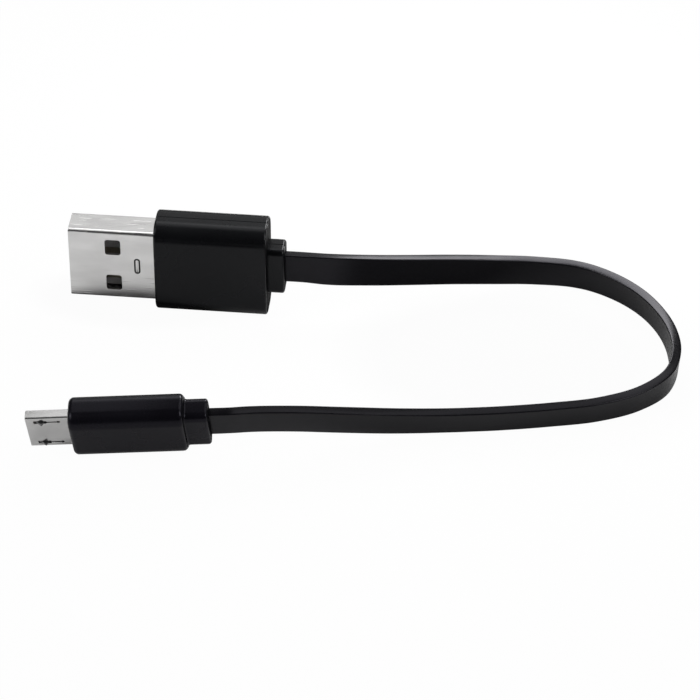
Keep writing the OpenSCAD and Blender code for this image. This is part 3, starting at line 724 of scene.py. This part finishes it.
def makeGrip(name, grip, shellOutline, place, finish, replaced):
    shape = loft(gripRings(grip, shellOutline), closed=True)[0]
    finishPiece(shape, name, place, finish, "cable", replaced, endVinyl, isEnd)


# the type A shell
shellA = {
    "wide": 12, "thick": 4.5, "wall": 0.3, "corner": 0.5, "end": 17.75,
    "windowX": 5.4, "windowLength": 2.3, "windowWide": 2.65, "windowCorner": 0.4,
    "windowPitch": 6.35,
    "coinX": 10.1, "coinLong": 0.9, "coinWide": 2.7, "coinLine": 0.22, "coinDepth": 0.25,
    "seam": 0.07, "edge": 0.04,
}
overrun = 1  # how far a cutter starts and ends outside the metal
through = 1.5  # how deep a cutter goes in from the outside, in walls
roundSteps = 6  # of a cutter's corner
hair = 0.01  # keeps two round ends from meeting in a point, and depths from being equal
mitreLimit = 0.3  # keeps the seam's corners from growing spikes


def faceOutline(long, wide, radius):
    # a rounded oblong in x and y, for cutters that stand on a wide face
    halfL, halfW = long / 2 - radius, wide / 2 - radius
    return (
        cornerPoints(halfL, -halfW, radius, -quarter, roundSteps)
        + cornerPoints(halfL, halfW, radius, 0, roundSteps)
        + cornerPoints(-halfL, halfW, radius, quarter, roundSteps)
        + cornerPoints(-halfL, -halfW, radius, 2 * quarter, roundSteps)
    )


def faceCutter(outline, x, y, z, depth):
    # stands on a wide face at y and goes on towards +y
    place = Matrix.Translation((x, y, z)) @ Matrix.Rotation(-quarter, 4, "X")
    return prism(outline, depth, place)


def seamCutter(values, keyX, keyLong, keyHigh):
    # the seam where the strip closes, with one dovetail key in it
    flare = keyHigh / 3
    way = [
        (-overrun, 0), (keyX, 0), (keyX - flare, keyHigh),
        (keyX + keyLong + flare, keyHigh), (keyX + keyLong, 0), (values["end"] + overrun, 0),
    ]
    left, right = [], []
    for i, point in enumerate(way):
        before = Vector(way[max(i - 1, 0)])
        after = Vector(way[min(i + 1, len(way) - 1)])
        here = Vector(point)
        runs = [run.normalized() for run in (here - before, after - here) if run.length > 0]
        normals = [Vector((-run.y, run.x)) for run in runs]
        mitre = sum(normals, Vector((0, 0))).normalized()
        reach = values["seam"] / 2 / max(mitre.dot(normals[0]), mitreLimit)
        left.append(here + mitre * reach)
        right.append(here - mitre * reach)
    outline = [tuple(point) for point in [*right, *reversed(left)]]
    # it starts outside the back and goes on towards the front, through the wall
    depth = 2 * values["wall"]
    start = values["thick"] / 2 - through * values["wall"] + depth
    place = Matrix.Translation((0, start, 0)) @ Matrix.Rotation(quarter, 4, "X")
    return prism(outline, depth, place)


def makeShellA(values):
    wall, thick, wide = values["wall"], values["thick"], values["wide"]
    outer = roundedOutline(thick, wide, values["corner"])
    inner = roundedOutline(thick - 2 * wall, wide - 2 * wall, values["corner"] - wall)
    front = -thick / 2
    window = faceOutline(values["windowLength"], values["windowWide"], values["windowCorner"])
    middle = values["windowX"] + values["windowLength"] / 2
    cutters = [
        faceCutter(
            window, middle, front - overrun, side * values["windowPitch"] / 2,
            thick + 2 * overrun,
        )
        for side in (-1, 1)
    ]
    # the coined oblong is a groove round an island
    line, coinLong, coinWide = values["coinLine"], values["coinLong"], values["coinWide"]
    coin = faceCutter(
        faceOutline(coinLong, coinWide, coinLong / 2 - hair),
        values["coinX"], front - overrun, 0, overrun + values["coinDepth"],
    )
    island = faceCutter(
        faceOutline(coinLong - 2 * line, coinWide - 2 * line, coinLong / 2 - line - hair),
        values["coinX"], front - 2 * overrun, 0, 3 * overrun + wall,
    )
    cutters.append(cutAway(coin, [island], "coined_outline"))
    cutters.append(seamCutter(
        values, values["windowX"], values["windowLength"], keyHigh=values["windowPitch"] / 6,
    ))
    shape = cutAway(tube(outer, inner, values["end"]), cutters, "shell_a")
    softenEdges(shape, values["edge"])

    # the groove's walls and floor get the painted shade steel
    def inCoin(face):
        centre = face.calc_center_median()
        near = abs(centre.x - values["coinX"]) < coinLong and abs(centre.z) < coinWide
        return near and 2 * hair < centre.y - front < values["coinDepth"] + hair

    finishPiece(
        shape, "type_a_steel_shell", placeA, steelA, "cable", ["type_a_shell"],
        paintedShadeSteel, inCoin,
    )
    print("type A shell")
    return outer


outlineA = makeShellA(shellA)
makeGrip("type_a_moulded_grip", gripA, outlineA, placeA, vinylA, ["type_a_overmould"])
print("type A moulding")

# the micro B shell
shellM = {
    "wide": 6.85, "thick": 1.8, "wall": 0.2, "fold": 0.3, "chamfer": 0.5,
    "end": 10.3, "reach": 6.1,
    "slotX": 1.1, "slotLong": 3.75, "slotFront": 1.85, "slotGap": 0.12, "slotRear": 0.24,
    "latchWide": 0.4, "latchPitch": 4.9, "seam": 0.07, "edge": 0.025,
}
arcSteps = 12  # of a slot's round end


def slotOutline(values):
    # wide round the hook, narrow behind it, with a round end
    frontHalf = values["latchWide"] / 2 + values["slotGap"]
    rearHalf, roundR = values["slotRear"] / 2, values["slotRear"]
    start, step = values["slotX"], values["slotX"] + values["slotFront"]
    centre = values["slotX"] + values["slotLong"] - roundR
    meet = centre - math.sqrt(roundR**2 - rearHalf**2)
    first = math.atan2(-rearHalf, meet - centre)
    angles = [first - 2 * first * i / arcSteps for i in range(arcSteps + 1)]
    return [
        (start, -frontHalf), (step, -frontHalf), (step, -rearHalf),
        *[(centre + roundR * math.cos(angle), roundR * math.sin(angle)) for angle in angles],
        (step, rearHalf), (step, frontHalf), (start, frontHalf),
    ]


def makeShellM(values):
    wall, thick, wide = values["wall"], values["thick"], values["wide"]
    outer = chamferedOutline(thick, wide, values["fold"], values["chamfer"])
    innerLeg = values["chamfer"] - (2 - math.sqrt(2)) * wall  # keeps the wall even
    inner = chamferedOutline(thick - 2 * wall, wide - 2 * wall, values["fold"] - wall, innerLeg)
    cutters = [
        faceCutter(
            slotOutline(values), 0, -thick / 2 - overrun, side * values["latchPitch"] / 2,
            overrun + through * wall,
        )
        for side in (-1, 1)
    ]
    cutters.append(seamCutter(
        values, values["reach"] / 3, values["reach"] / 4, keyHigh=values["wide"] / 8,
    ))
    shape = cutAway(tube(outer, inner, values["end"]), cutters, "shell_m")
    softenEdges(shape, values["edge"])
    finishPiece(shape, "micro_b_steel_shell", placeM, steelM, "cable", ["micro_b_shell"])
    print("micro B shell")
    return outer


outlineM = makeShellM(shellM)
makeGrip("micro_b_moulded_grip", gripM, outlineM, placeM, vinylM, ["micro_b_overmould"])
print("micro B moulding")

# table and light, in metres
studio = {
    "floorSize": 3,  # from its middle to each side
    "floorTone": 0.81,
    "floorRoughness": 0.9,
    "floorSpecular": 0.1,
    "floorGlow": 0.97,  # share of plain white that the camera sees on the floor
    "room": 0.07,
    # painted shadows: patches of darker floor tone that stand in for shadow, out of the camera's
    # sight but seen in reflections:
    # centre x and y, half width, half depth and share of the floor's tone
    "paintedShadows": [
        (0.044, -0.009, 0.027, 0.018, 0.25),
        (-0.0115, 0, 0.018, 0.0082, 0.1),
    ],
    "paintedShadowFade": 0.3,  # share of a patch in which it fades out
    # name, centre, width, depth, tilt towards the front and turn in degrees, brightness
    "lamps": [
        ("overhead_lamp", (-0.022, 0.055, 0.09), 0.074, 0.031, 0, 0, 2.8),
        ("near_card", (-0.022, 0.024, 0.09), 0.074, 0.031, 0, 0, 1.4),
        ("tip_card", (-0.034, -0.012, 0.09), 0.024, 0.036, 0, 0, 0.95),
        ("loop_card", (0.046, -0.011, 0.09), 0.064, 0.03, 0, 0, 1.4),
        ("bend_card", (0.086, 0.036, 0.09), 0.036, 0.08, 0, 0, 1.9),
        ("rear_card_right", (0.041, 0.064, 0.066), 0.044, 0.042, 42, 0, 10.4),
        ("rear_card_left", (-0.02, 0.088, 0.06), 0.09, 0.045, 60, 0, 0.78),
        ("left_lamp", (-0.27, -0.14, 0.26), 0.22, 0.22, 50, 112, 4.5),
        ("right_lamp", (0.31, -0.14, 0.26), 0.22, 0.22, 50, -112, 4.5),
    ],
}


def whiteToCamera(tree, plain, white, share, output):
    # the camera sees a share of the white one, and the light meets the plain one
    rays = tree.nodes.new("ShaderNodeLightPath")
    mix = tree.nodes.new("ShaderNodeMixShader")
    seen = mathOf(tree, "MULTIPLY", rays.outputs["Is Camera Ray"], share)
    tree.links.new(seen, mix.inputs["Fac"])
    tree.links.new(plain.outputs[0], mix.inputs[1])
    tree.links.new(white.outputs[0], mix.inputs[2])
    tree.links.new(mix.outputs[0], tree.nodes[output].inputs["Surface"])


def addFloor():
    shape = bmesh.new()
    bmesh.ops.create_grid(shape, x_segments=1, y_segments=1, size=studio["floorSize"])
    floor = newObject(plainMesh(shape, "studio_floor"), "studio_floor")
    finish, tree, shader = newFinish("pale_floor")
    tone = tree.nodes.new("ShaderNodeValue").outputs[0]
    tone.default_value = studio["floorTone"]
    # each painted shadow darkens the floor's tone in a soft patch
    for x, y, halfWide, halfDeep, share in studio["paintedShadows"]:
        space = patternSpace(
            tree, scale=(1 / halfWide, 1 / halfDeep, 1), shift=(-x / halfWide, -y / halfDeep, 0),
        )
        patch = tree.nodes.new("ShaderNodeTexGradient")
        patch.gradient_type = "SPHERICAL"
        tree.links.new(space, patch.inputs["Vector"])
        shadowFactor = rangeOf(tree, patch.outputs["Fac"], 1, share, (0, studio["paintedShadowFade"]))
        tone = mathOf(tree, "MULTIPLY", tone, shadowFactor)
    tree.links.new(tone, shader.inputs["Base Color"])
    shader.inputs["Roughness"].default_value = studio["floorRoughness"]
    shader.inputs["Specular IOR Level"].default_value = studio["floorSpecular"]
    glow = tree.nodes.new("ShaderNodeEmission")
    glow.inputs["Strength"].default_value = 1
    whiteToCamera(tree, shader, glow, studio["floorGlow"], "Material Output")
    floor.data.materials.append(finish)


def addLamp(name, centre, wide, deep, tilt, turn, brightness):
    # shines straight down at no tilt, and is tilted towards the front before it is turned round
    light = bpy.data.lights.new(name, "AREA")
    light.shape = "RECTANGLE"
    light.size, light.size_y = wide, deep
    light.energy = brightness * math.pi * wide * deep
    holder = bpy.data.objects.new(name, light)
    holder.location = centre
    holder.rotation_euler = (-math.radians(tilt), 0, math.radians(turn))
    holder.visible_camera = False
    bpy.context.scene.collection.objects.link(holder)


def addWorld():
    world = bpy.data.worlds.new("studio_room")
    world.use_nodes = True
    tree = world.node_tree
    room = tree.nodes["Background"]
    white = tree.nodes.new("ShaderNodeBackground")
    for shade, strength in ((room, studio["room"]), (white, 1)):
        shade.inputs["Color"].default_value = (1, 1, 1, 1)
        shade.inputs["Strength"].default_value = strength
    whiteToCamera(tree, room, white, 1.0, "World Output")
    bpy.context.scene.world = world


addFloor()
for lamp in studio["lamps"]:
    addLamp(*lamp)
addWorld()
bpy.context.scene.view_settings.view_transform = "Standard"
print("floor and lights")
